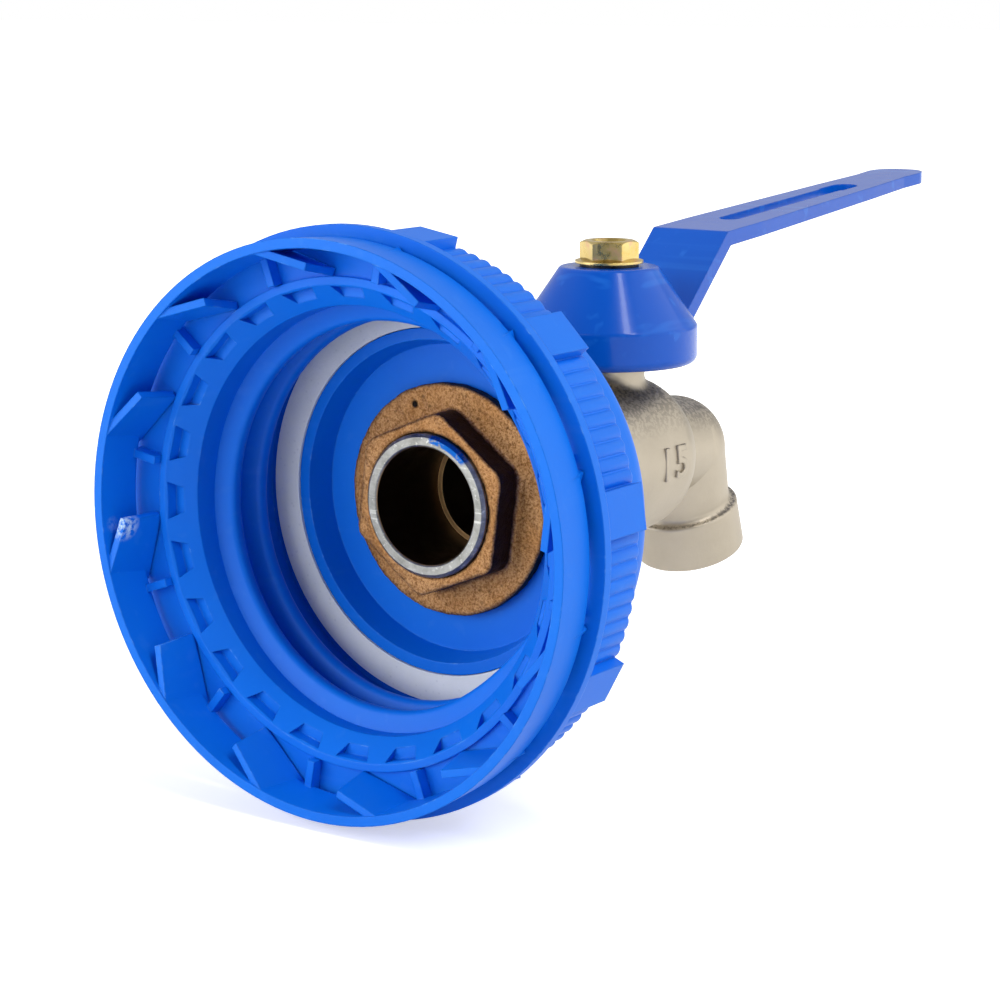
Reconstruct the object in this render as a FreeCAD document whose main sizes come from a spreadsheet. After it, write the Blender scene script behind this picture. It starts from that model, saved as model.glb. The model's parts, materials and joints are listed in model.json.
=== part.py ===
"""IBC tank valve: a screw cap with a tamper ring, carrying a quarter-turn ball tap.

Frame: the origin is the centre of the cap gasket's sealing face, +X is the way
the liquid flows (out of the tank, into the tap) and +Z runs up the tap's stem.
All sizes are millimetres.  "Front" is the tank side (-X), "back" the tap side.
"""
import FreeCAD, Part
import math
import os
import re

import Sketcher
from FreeCAD import Placement, Rotation, Vector

doc = FreeCAD.newDocument("ibc_tank_valve")

# --------------------------------------------------------------------------
# Driving sizes.  x positions are counted from the gasket face, z from the
# flow axis, and every other place is worked out from these.
# --------------------------------------------------------------------------
SIZES = {
    # screw cap, for an S60 x 6 tank outlet
    "thread_wall_r": 30.25,      # wall the thread stands on
    "thread_front": -17.2,       # front end of that wall
    "thread_length": 13.8,       # straight wall as far as the run-out
    "relief_depth": 0.75,        # undercut behind the thread, where the gasket goes in
    "shelf_x": 0.6,              # step that centres the gasket
    "shelf_step": 0.15,          # below the thread wall
    "rim_front": -20.7,          # front of the cap's inner cylinder
    "rim_outer_r": 34.5,
    "rim_inner_r": 33.4,         # start of the lead-in cone
    "flange_front": -20.1,
    "flange_thickness": 1.5,
    "flange_r": 41.5,
    "grip_back": -7.5,
    "grip_r": 39.1,
    "grip_edge_r": 1.2,
    "recess_outer_r": 37.2,      # moulding recess, open at the back
    "recess_floor": -15.5,
    "shell_front_r": 33.4,
    "shell_back_r": 32.6,
    "shell_corner_r": 5.0,
    "disc_thickness": 3.0,
    "disc_front": 4.5,
    "gasket_thickness": 3.0,
    "gasket_width": 4.4,
    "gasket_clearance": 0.1,
    "ring_front": 0.3,           # raised ring inside the gasket
    "ring_width": 1.7,
    "ring_taper": 1.0,
    "pocket_count": 24,
    "pocket_inner_r": 31.6,
    "pocket_outer_r": 33.2,
    "pocket_inner_half": 3.2,    # half angles, degrees
    "pocket_outer_half": 4.75,
    "pocket_floor": -18.6,
    "lug_count": 10,
    "lug_r": 40.8,
    "lug_half": 4.5,
    "lug_first": 46.0,           # degrees from +Z towards -Y
    # tamper ring
    "skirt_front": -28.1,
    "skirt_front_r": 40.3,
    "skirt_back_r": 39.9,
    "skirt_wall": 1.4,
    "slit_width": 1.2,
    "bridge_count": 12,
    "bridge_first": 10.0,
    "bridge_width": 1.2,
    "bridge_length": 1.9,
    "bridge_bite": 0.6,
    "bridge_clearance": 0.1,
    "fin_count": 12,
    "fin_back_angle": 222.5,     # where a fin leaves the skirt, at its back edge
    "fin_front_angle": 225.0,    # and at its front edge
    "fin_tip_angle": 236.7,
    "fin_tip_back_r": 35.0,
    "fin_tip_front_r": 36.3,
    "fin_tip_drop": 1.6,         # the front edge slopes back towards its tip
    "fin_thickness": 1.1,
    "fin_clearance": 0.3,
    # through fitting
    "nipple_r": 10.48,           # G 1/2 outside diameter
    "nipple_front": -3.0,
    "nipple_bore_r": 8.56,
    "nipple_chamfer": 0.5,
    "bore_chamfer": 0.3,
    "nipple_step": 12.2,
    "adapter_bore_r": 7.8,
    "thread_clearance": 0.05,
    "hole_clearance": 0.12,
    "nut_flange_r": 17.1,
    "nut_flange_thickness": 2.0,
    "nut_hex_height": 4.7,
    "nut_flats": 24.0,
    "nut_turn": 7.5,
    "nut_countersink": 0.7,
    "nut_edge_r": 0.5,
    "hex_crown": 1.7,            # steepness of the chamfer on hexagons
    "collar_crown": 0.25,
    "outer_seal_thickness": 2.0,
    "outer_seal_r": 16.0,
    "washer_thickness": 1.2,
    "washer_r": 15.5,
    "collar_length": 7.9,
    "collar_flats": 25.0,
    "adapter_seal_thickness": 1.2,
    "adapter_seal_r": 13.0,
    "spigot_r": 11.2,
    "spigot_length": 12.2,
    "spigot_gap": 0.2,
    # ball, seats and stem
    "stem_x": 46.0,
    "ball_r": 9.0,
    "ball_bore_r": 5.2,
    "chamber_r": 9.5,
    "slide_clearance": 0.05,
    "seat_bore_r": 5.3,
    "seat_inner": 3.9,           # seat faces, from the ball's centre
    "seat_outer": 7.8,
    "seat_clearance": 0.1,
    "slot_width": 3.2,
    "slot_floor": 6.2,
    "tang_clearance": 0.1,
    "stem_r": 4.0,
    "stem_flange_r": 4.9,
    "stem_flange_height": 1.2,
    "flange_clearance": 0.2,
    "thrust_washer_thickness": 0.7,
    "stem_shoulder": 22.0,
    "stem_top": 29.6,
    "drive_flats": 6.8,
    "bolt_hole_depth": 9.6,
    "groove_r": 2.95,
    "groove_width": 1.6,
    "groove_low": 13.2,
    "groove_high": 16.3,
    "packing_bottom": 19.0,
    "packing_r": 4.85,
    # valve body
    "inlet_r": 13.4,
    "inlet_length": 12.0,
    "inlet_slope": 2.0,
    "barrel_r": 12.6,
    "barrel_end": 54.0,
    "barrel_nose": 2.9,
    "dome_r": 8.0,
    "tube_r": 8.4,
    "elbow_x": 66.2,
    "elbow_drop": 1.4,
    "elbow_r": 8.5,
    "outlet_tilt": 18.5,         # degrees forward of straight down
    "outlet_r": 7.7,
    "outlet_length": 18.7,
    "lip_length": 8.1,
    "lip_r": 8.95,
    "lip_edge_r": 0.5,
    "passage_r": 6.2,
    "mouth_r": 6.4,
    "mouth_length": 9.0,
    "neck_r": 5.7,
    "neck_top": 21.4,
    "neck_edge": 0.5,
    "saddle_r": 2.0,             # cast fillet between neck and barrel
    "casting_r": 1.0,            # the other cast fillets
    "stop_r": 8.8,
    "stop_bottom": 17.4,
    "stop_height": 2.6,
    "stop_angle": 150.0,
    "stop_lug_angle": 115.0,
    "stop_gap": 0.3,
    # lever handle
    "hub_top": 30.2,
    "hub_top_r": 7.7,
    "hub_shoulder": 21.1,
    "hub_r": 13.9,
    "hub_bottom": 15.2,
    "hub_edge_r": 1.4,
    "hub_crease_r": 0.8,
    "hub_wall": 1.9,
    "hub_roof": 2.9,
    "boss_r": 6.4,
    "lever_thickness": 2.4,
    "lever_tip_thickness": 2.0,
    "riser_root_x": 57.0,
    "riser_slope": 42.5,
    "bend_x": 70.8,
    "bend_z": 34.0,
    "bend_r": 0.6,
    "lever_slope": 3.9,
    "lever_end": 149.0,
    "lever_width": 14.1,
    "lever_taper_x": 82.0,
    "lever_mid_x": 126.0,
    "lever_mid_width": 11.2,
    "lever_waist_x": 139.0,
    "lever_waist_width": 9.9,
    "lever_tip_x": 145.0,
    "lever_tip_width": 10.5,
    "lever_tip_r": 4.2,
    "slot_start": 82.0,
    "slot_end": 127.0,
    "slot_half": 2.0,
    "slot_end_half": 2.5,
    # handle bolt, M5
    "lock_washer_thickness": 0.5,
    "lock_washer_r": 4.6,
    "bolt_r": 2.5,
    "bolt_clearance": 0.05,
    "bolt_length": 9.0,
    "bolt_flange_r": 5.33,
    "bolt_flange_height": 0.8,
    "bolt_flats": 8.0,
    "bolt_head_height": 3.5,
    "bolt_head_chamfer": 0.45,
    "bolt_turn": -2.3,
    "bolt_dish_r": 2.9,
    "bolt_dish_depth": 0.5,
}

sheet = doc.addObject("Spreadsheet::Sheet", "Sizes")
for row, (alias, value) in enumerate(SIZES.items(), start=1):
    sheet.set(f"A{row}", alias)
    sheet.set(f"B{row}", str(value))
    sheet.setAlias(f"B{row}", alias)
doc.recompute()

# --------------------------------------------------------------------------
# Helpers
# --------------------------------------------------------------------------
ALONG_X = Rotation(Vector(0, 1, 0), 90)      # turns +Z of a primitive to +X


def expression(text):
    """Write a formula of size names as an expression on the sheet's cells."""
    return re.sub(r"[a-z]+(?:_[a-z]+)+", lambda word: "Sizes." + word.group(0), str(text))


def bind(obj, prop, text):
    obj.setExpression(prop, expression(text))


def number(text):
    """The value that a formula of size names has now."""
    return float(sheet.evalExpression(expression(text)))


def placed(obj, x="0", y="0", z="0", rotation=Rotation()):
    obj.Placement = Placement(Vector(number(x), number(y), number(z)), rotation)
    for axis, text in (("x", x), ("y", y), ("z", z)):
        if str(text) != "0":
            bind(obj, f"Placement.Base.{axis}", text)
    return obj


def origin_feature(body, role):
    return next(f for f in body.Origin.OriginFeatures if f.Role == role)


def outline(body, name, plane, corners, offset=None):
    """A closed sketch of straight lines, each corner held by two formulas."""
    sketch = body.newObject("Sketcher::SketchObject", name)
    sketch.AttachmentSupport = [(origin_feature(body, plane), "")]
    sketch.MapMode = "FlatFace"
    if offset is not None:
        bind(sketch, "AttachmentOffset.Base.z", offset)
    points = [Vector(number(a), number(b), 0) for a, b in corners]
    for i, point in enumerate(points):
        sketch.addGeometry(Part.LineSegment(point, points[(i + 1) % len(points)]))
    for i in range(len(points)):
        sketch.addConstraint(Sketcher.Constraint("Coincident", i, 2, (i + 1) % len(points), 1))
    for i, (a, b) in enumerate(corners):
        for kind, value, text in (("DistanceX", points[i].x, a), ("DistanceY", points[i].y, b)):
            index = sketch.addConstraint(Sketcher.Constraint(kind, -1, 1, i, 1, value))
            bind(sketch, f"Constraints[{index}]", text)
    return sketch


def turned(label, corners, upright=False):
    """A body turned about the flow axis, or about its own +Z if upright.

    corners are (along, radius) for the flow axis and (radius, height) upright.
    """
    body = doc.addObject("PartDesign::Body", label)
    sketch = outline(body, label + "_section", "XZ_Plane", corners)
    turn = body.newObject("PartDesign::Revolution", label + "_turn")
    turn.Profile = sketch
    turn.ReferenceAxis = (sketch, ["V_Axis" if upright else "H_Axis"])
    turn.Angle = 360
    body.Tip = turn
    return body


def ring_edge(shape, radius, height, axis="x"):
    """Names of the full circles of one radius at one place on the axis."""
    found = []
    for i, edge in enumerate(shape.Edges, start=1):
        if not isinstance(edge.Curve, Part.Circle):
            continue
        centre = getattr(edge.Curve.Center, axis)
        if abs(edge.Curve.Radius - radius) < 1e-3 and abs(centre - height) < 1e-3:
            found.append(f"Edge{i}")
    return found


def rounded(body, name, radius, edges, kind="Fillet"):
    """Round (or chamfer) edges of a body's latest feature."""
    base = body.Tip
    feature = body.newObject("PartDesign::" + kind, name)
    feature.Base = (base, edges)
    bind(feature, "Radius" if kind == "Fillet" else "Size", radius)
    body.Tip = feature
    doc.recompute()
    return feature


def polar(body, name, feature, count, axis="X_Axis"):
    pattern = body.newObject("PartDesign::PolarPattern", name)
    pattern.Originals = [feature]
    pattern.Axis = (origin_feature(body, axis), [""])
    pattern.Angle = 360
    bind(pattern, "Occurrences", count)
    body.Tip = pattern
    return pattern


def cylinder(name, radius, height, **where):
    obj = doc.addObject("Part::Cylinder", name)
    bind(obj, "Radius", radius)
    bind(obj, "Height", height)
    return placed(obj, **where)


def cone(name, radius_a, radius_b, height, **where):
    obj = doc.addObject("Part::Cone", name)
    bind(obj, "Radius1", radius_a)
    bind(obj, "Radius2", radius_b)
    bind(obj, "Height", height)
    return placed(obj, **where)


def sphere(name, radius, **where):
    obj = doc.addObject("Part::Sphere", name)
    bind(obj, "Radius", radius)
    return placed(obj, **where)


def block(name, size_x, size_y, size_z, **where):
    """A box centred on its place in x and y, standing on it in z."""
    obj = doc.addObject("Part::Box", name)
    for prop, text in (("Length", size_x), ("Width", size_y), ("Height", size_z)):
        bind(obj, prop, text)
    x = where.pop("x", "0")
    return placed(obj, x=f"{x} - ({size_x}) / 2", y=f"-({size_y}) / 2", **where)


def sector(name, radius, height, angle, centre_angle, **where):
    """A pie slice about +Z whose middle points at centre_angle."""
    obj = cylinder(name, radius, height, **where)
    bind(obj, "Angle", angle)
    obj.Placement.Rotation = Rotation(Vector(0, 0, 1), centre_angle - number(angle) / 2)
    return obj


def hexagon(name, flats, height, **where):
    obj = doc.addObject("Part::Prism", name)
    obj.Polygon = 6
    bind(obj, "Circumradius", f"({flats}) / 2 / cos(30)")
    bind(obj, "Height", height)
    return placed(obj, **where)


def joined(label, parts):
    obj = doc.addObject("Part::MultiFuse", label)
    obj.Shapes = parts
    obj.Refine = True
    return obj


def shared(label, parts):
    obj = doc.addObject("Part::MultiCommon", label)
    obj.Shapes = parts
    return obj


def less(label, base, tools):
    obj = doc.addObject("Part::Cut", label)
    obj.Base = base
    obj.Tool = tools[0] if len(tools) == 1 else joined(label + "_tools", tools)
    return obj


# --------------------------------------------------------------------------
# Screw cap: turned section, lead-in pockets and grip lugs
# --------------------------------------------------------------------------
DISC_BACK = "disc_front + disc_thickness"
THREAD_BACK = "thread_front + thread_length"
HOLE_R = "nipple_r + hole_clearance"
FLANGE_BACK = "flange_front + flange_thickness"
SHELF_R = "thread_wall_r - shelf_step"
GASKET_OUTER_R = f"{SHELF_R} - 3 * gasket_clearance"
GASKET_INNER_R = f"{GASKET_OUTER_R} - gasket_width"
RING_OUTER_R = f"{GASKET_INNER_R} - gasket_clearance"
RING_INNER_R = f"{RING_OUTER_R} - ring_width"


def make_cap_shell():
    body = turned("cap_shell", [
        ("rim_front", "rim_inner_r"),
        ("thread_front", "thread_wall_r"),
        (THREAD_BACK, "thread_wall_r"),
        (THREAD_BACK, "thread_wall_r + relief_depth"),
        ("shelf_x", "thread_wall_r + relief_depth"),
        ("shelf_x", SHELF_R),
        ("gasket_thickness", SHELF_R),
        ("gasket_thickness", RING_OUTER_R),
        ("ring_front", RING_OUTER_R),
        ("ring_front", RING_INNER_R),
        ("disc_front", f"{RING_INNER_R} - ring_taper"),
        ("disc_front", HOLE_R),
        (DISC_BACK, HOLE_R),
        (DISC_BACK, "shell_back_r"),
        ("recess_floor", "shell_front_r"),
        ("recess_floor", "recess_outer_r"),
        ("grip_back", "recess_outer_r"),
        ("grip_back", "grip_r"),
        (FLANGE_BACK, "grip_r"),
        (FLANGE_BACK, "flange_r"),
        ("flange_front", "flange_r"),
        ("flange_front", "rim_outer_r"),
        ("rim_front", "rim_outer_r"),
    ])
    doc.recompute()
    corner = ring_edge(body.Tip.Shape, number("shell_back_r"), number(DISC_BACK))
    rounded(body, "cap_back_corner", "shell_corner_r", corner)
    grip = ring_edge(body.Tip.Shape, number("grip_r"), number("grip_back"))
    rounded(body, "cap_grip_corner", "grip_edge_r", grip)

    # one lead-in pocket at the top, then the ring of them
    pocket_corners = []
    for radius, half in (("pocket_inner_r", "pocket_inner_half"),
                         ("pocket_outer_r", "pocket_outer_half")):
        for side in (-1, 1):
            pocket_corners.append((f"{side} * {radius} * sin({half})", f"{radius} * cos({half})"))
    pocket_corners[2], pocket_corners[3] = pocket_corners[3], pocket_corners[2]
    sketch = outline(body, "pocket_plan", "YZ_Plane", pocket_corners, "rim_front")
    pocket = body.newObject("PartDesign::Pocket", "lead_in_pocket")
    pocket.Profile = sketch
    pocket.Reversed = True
    bind(pocket, "Length", "pocket_floor - rim_front")
    polar(body, "lead_in_pockets", pocket, "pocket_count")

    # one grip lug, then the ring of them
    lug_corners = []
    for radius, turn in (("grip_r - grip_edge_r", "lug_first - lug_half"), ("lug_r", "lug_first - lug_half"),
                         ("lug_r", "lug_first + lug_half"),
                         ("grip_r - grip_edge_r", "lug_first + lug_half")):
        lug_corners.append((f"-({radius}) * sin({turn})", f"({radius}) * cos({turn})"))
    sketch = outline(body, "lug_plan", "YZ_Plane", lug_corners, FLANGE_BACK)
    lug = body.newObject("PartDesign::Pad", "grip_lug")
    lug.Profile = sketch
    bind(lug, "Length", f"grip_back - grip_edge_r - ({FLANGE_BACK})")
    polar(body, "grip_lugs", lug, "lug_count")
    return body


# --------------------------------------------------------------------------
# Tamper ring: skirt, break-off bridges and leaning ratchet fins
# --------------------------------------------------------------------------
SKIRT_BACK = "flange_front - slit_width"


def around(x, radius, angle):
    """A point about the flow axis; angles count from +Z towards -Y."""
    turn = math.radians(angle)
    return Vector(x, -radius * math.sin(turn), radius * math.cos(turn))


def fin_edge(base_x, base_angle, tip_x, tip_radius):
    """The closed four-sided end of a fin, from the skirt's wall to its tip."""
    wall = number("skirt_front_r - skirt_wall")
    root = around(base_x, wall + number("skirt_wall") / 2, base_angle)
    tip = around(tip_x, tip_radius, number("fin_tip_angle"))
    run = Vector(0, tip.y - root.y, tip.z - root.z).normalize()
    side = Vector(0, -run.z, run.y) * (number("fin_thickness") / 2)
    return Part.makePolygon([root - side, tip - side, tip + side, root + side, root - side])


def make_tamper_ring():
    wall_front = "skirt_front_r - skirt_wall"
    wall_back = "skirt_back_r - skirt_wall"
    skirt = turned("skirt", [
        ("skirt_front", wall_front),
        (SKIRT_BACK, wall_back),
        (SKIRT_BACK, "skirt_back_r"),
        ("skirt_front", "skirt_front_r"),
    ])
    parts = [skirt]
    # bridges between the skirt and the flange's front face
    inner = number("rim_outer_r + bridge_clearance")
    outer = number(wall_back) + number("bridge_bite")
    for k in range(int(number("bridge_count"))):
        angle = number("bridge_first") + 360.0 * k / number("bridge_count")
        bridge = doc.addObject("Part::Box", f"bridge_{k + 1}")
        bind(bridge, "Length", "bridge_length")
        bind(bridge, "Width", "bridge_width")
        bridge.Height = outer - inner
        spin = Rotation(Vector(1, 0, 0), angle)
        start = Vector(number("flange_front - bridge_length"), -number("bridge_width") / 2, inner)
        bridge.Placement = Placement(spin.multVec(start), spin)
        parts.append(bridge)
    # fins: ruled between a back edge and a sloping front edge
    back = fin_edge(number("flange_front - fin_clearance"), number("fin_back_angle"),
                    number("flange_front - fin_clearance"), number("fin_tip_back_r"))
    front = fin_edge(number("skirt_front"), number("fin_front_angle"),
                     number("skirt_front + fin_tip_drop"), number("fin_tip_front_r"))
    fin_shape = Part.makeLoft([back, front], True, True)
    for k in range(int(number("fin_count"))):
        fin = doc.addObject("Part::Feature", f"fin_{k + 1}")
        fin.Shape = fin_shape
        turn = 360.0 * k / number("fin_count")
        fin.Placement = Placement(Vector(), Rotation(Vector(1, 0, 0), turn))
        parts.append(fin)
    return joined("tamper_ring", parts)


# --------------------------------------------------------------------------
# Gasket, through fitting, nut and seals
# --------------------------------------------------------------------------
NUT_FLANGE_FRONT = "disc_front - nut_flange_thickness"
NUT_FRONT = f"{NUT_FLANGE_FRONT} - nut_hex_height"
NUT_BORE_R = "nipple_r + thread_clearance"
SEAL_BACK = f"{DISC_BACK} + outer_seal_thickness"
WASHER_BACK = f"{SEAL_BACK} + washer_thickness"
COLLAR_BACK = f"{WASHER_BACK} + collar_length"
BODY_FRONT = f"{COLLAR_BACK} + adapter_seal_thickness"
SPIGOT_BACK = f"{COLLAR_BACK} + spigot_length"
STEP_X = f"{SPIGOT_BACK} + spigot_gap"
NOSE_X = "stem_x - seat_outer"


def flat_ring(label, front, back, inner, outer):
    return turned(label, [(front, inner), (front, outer), (back, outer), (back, inner)])


def make_cap_gasket():
    return flat_ring("cap_gasket", "0", "gasket_thickness", GASKET_INNER_R, GASKET_OUTER_R)


def make_backnut():
    spin = Rotation(Vector(1, 0, 0), number("nut_turn")) * ALONG_X
    prism = hexagon("backnut_hex", "nut_flats", "nut_hex_height", x=NUT_FRONT, rotation=spin)
    crown = cone("backnut_crown", "nut_flats / 2 - collar_crown",
                 "nut_flats / 2 - collar_crown + hex_crown * nut_hex_height",
                 "nut_hex_height", x=NUT_FRONT, rotation=ALONG_X)
    head = shared("backnut_head", [prism, crown])
    flange = turned("backnut_flange", [
        (NUT_FLANGE_FRONT, "0"),
        (NUT_FLANGE_FRONT, "nut_flange_r - nut_edge_r"),
        (f"{NUT_FLANGE_FRONT} + nut_edge_r", "nut_flange_r"),
        ("disc_front", "nut_flange_r"),
        ("disc_front", "0"),
    ])
    hole = cylinder("backnut_hole", NUT_BORE_R, "nut_hex_height + nut_flange_thickness",
                    x=NUT_FRONT, rotation=ALONG_X)
    mouth = cone("backnut_mouth", f"{NUT_BORE_R} + nut_countersink", NUT_BORE_R,
                 "nut_countersink", x=NUT_FRONT, rotation=ALONG_X)
    return less("backnut", joined("backnut_blank", [head, flange]), [hole, mouth])


def make_outer_seal():
    return flat_ring("outer_seal", DISC_BACK, SEAL_BACK, HOLE_R, "outer_seal_r")


def make_clamp_washer():
    return flat_ring("clamp_washer", SEAL_BACK, WASHER_BACK, HOLE_R, "washer_r")


def make_inlet_adapter():
    pilot_r = "chamber_r - slide_clearance"
    tube = turned("adapter_tube", [
        ("nipple_front + bore_chamfer", "nipple_bore_r"),
        ("nipple_front", "nipple_bore_r + bore_chamfer"),
        ("nipple_front", "nipple_r - nipple_chamfer"),
        ("nipple_front + nipple_chamfer", "nipple_r"),
        (COLLAR_BACK, "nipple_r"),
        (COLLAR_BACK, "spigot_r"),
        (SPIGOT_BACK, "spigot_r"),
        (SPIGOT_BACK, pilot_r),
        (NOSE_X, pilot_r),
        (NOSE_X, "adapter_bore_r"),
        ("nipple_step", "adapter_bore_r"),
        ("nipple_step", "nipple_bore_r"),
    ])
    prism = shared("adapter_crowned", [
        hexagon("adapter_hex", "collar_flats", "collar_length", x=WASHER_BACK, rotation=ALONG_X),
        cone("adapter_crown_front", "collar_flats / 2 - collar_crown",
             "collar_flats / 2 - collar_crown + hex_crown * collar_length",
             "collar_length", x=WASHER_BACK, rotation=ALONG_X),
        cone("adapter_crown_back", "collar_flats / 2 - collar_crown + hex_crown * collar_length",
             "collar_flats / 2 - collar_crown", "collar_length", x=WASHER_BACK,
             rotation=ALONG_X),
    ])
    hole = cylinder("adapter_hex_hole", "nipple_r - hole_clearance", "collar_length",
                    x=WASHER_BACK, rotation=ALONG_X)
    return joined("inlet_adapter", [tube, less("adapter_collar", prism, [hole])])


def make_adapter_seal():
    return flat_ring("adapter_seal", COLLAR_BACK, BODY_FRONT,
                     "spigot_r + hole_clearance", "adapter_seal_r")


# --------------------------------------------------------------------------
# Ball, seats, stem and its rings
# --------------------------------------------------------------------------
BORE_R = "stem_r + slide_clearance"
FLANGE_BOTTOM = "chamber_r + slide_clearance"
FLANGE_TOP = f"{FLANGE_BOTTOM} + stem_flange_height"
WASHER_TOP = f"{FLANGE_TOP} + slide_clearance + thrust_washer_thickness"


def make_seat(label, side):
    """A seat ring on one side of the ball, hollowed to the ball."""
    front = f"stem_x {'-' if side < 0 else '+'} {'seat_outer' if side < 0 else 'seat_inner'}"
    ring = cylinder(label + "_ring", "chamber_r - slide_clearance", "seat_outer - seat_inner",
                    x=front, rotation=ALONG_X)
    hole = cylinder(label + "_hole", "seat_bore_r", "seat_outer - seat_inner",
                    x=front, rotation=ALONG_X)
    hollow = sphere(label + "_hollow", "ball_r + seat_clearance", x="stem_x")
    return less(label, ring, [hole, hollow])


def make_ball():
    solid = sphere("ball_solid", "ball_r", x="stem_x")
    bore = cylinder("ball_bore", "ball_bore_r", "2 * ball_r", x="stem_x - ball_r",
                    rotation=ALONG_X)
    slot = block("ball_slot", "slot_width", "2 * ball_r", "ball_r - slot_floor",
                 x="stem_x", z="slot_floor")
    return less("ball", solid, [bore, slot])


def make_stem():
    column = turned("stem_column", [
        ("0", FLANGE_BOTTOM),
        ("stem_flange_r", FLANGE_BOTTOM),
        ("stem_flange_r", FLANGE_TOP),
        ("stem_r", FLANGE_TOP),
        ("stem_r", "groove_low"),
        ("groove_r", "groove_low"),
        ("groove_r", "groove_low + groove_width"),
        ("stem_r", "groove_low + groove_width"),
        ("stem_r", "groove_high"),
        ("groove_r", "groove_high"),
        ("groove_r", "groove_high + groove_width"),
        ("stem_r", "groove_high + groove_width"),
        ("stem_r", "stem_shoulder"),
        ("0", "stem_shoulder"),
    ], upright=True)
    placed(column, x="stem_x")
    drive = shared("stem_drive", [
        block("stem_square", "drive_flats", "drive_flats", "stem_top - stem_shoulder",
              x="stem_x", z="stem_shoulder"),
        cylinder("stem_round", "stem_r", "stem_top - stem_shoulder", x="stem_x",
                 z="stem_shoulder"),
    ])
    tang = block("stem_tang", "slot_width - 2 * tang_clearance",
                 "2 * seat_inner - 4 * tang_clearance",
                 f"{FLANGE_BOTTOM} - slot_floor - tang_clearance",
                 x="stem_x", z="slot_floor + tang_clearance")
    hole = cylinder("stem_bolt_hole", "bolt_r + bolt_clearance", "bolt_hole_depth",
                    x="stem_x", z="stem_top - bolt_hole_depth")
    return less("stem", joined("stem_blank", [column, drive, tang]), [hole])


def upright_ring(label, bottom, top, inner, outer):
    body = turned(label, [(inner, bottom), (outer, bottom), (outer, top), (inner, top)],
                  upright=True)
    return placed(body, x="stem_x")


def make_stem_thrust_washer():
    return upright_ring("stem_thrust_washer", f"{FLANGE_TOP} + slide_clearance", WASHER_TOP,
                        "stem_r + tang_clearance", "stem_flange_r + tang_clearance")


def make_o_ring(label, groove):
    """A ring that fills its groove's depth and sits at mid height."""
    ring = doc.addObject("Part::Torus", label)
    bind(ring, "Radius1", "(groove_r + stem_r) / 2")
    bind(ring, "Radius2", "(stem_r - groove_r) / 2")
    return placed(ring, x="stem_x", z=f"{groove} + groove_width / 2")


def make_stem_packing():
    return upright_ring("stem_packing", "packing_bottom", "neck_top", BORE_R, "packing_r")


# --------------------------------------------------------------------------
# Valve body: cast barrel with a domed nose, elbow, spout and neck
# --------------------------------------------------------------------------
NOSE_END = "barrel_end + barrel_nose"


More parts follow.
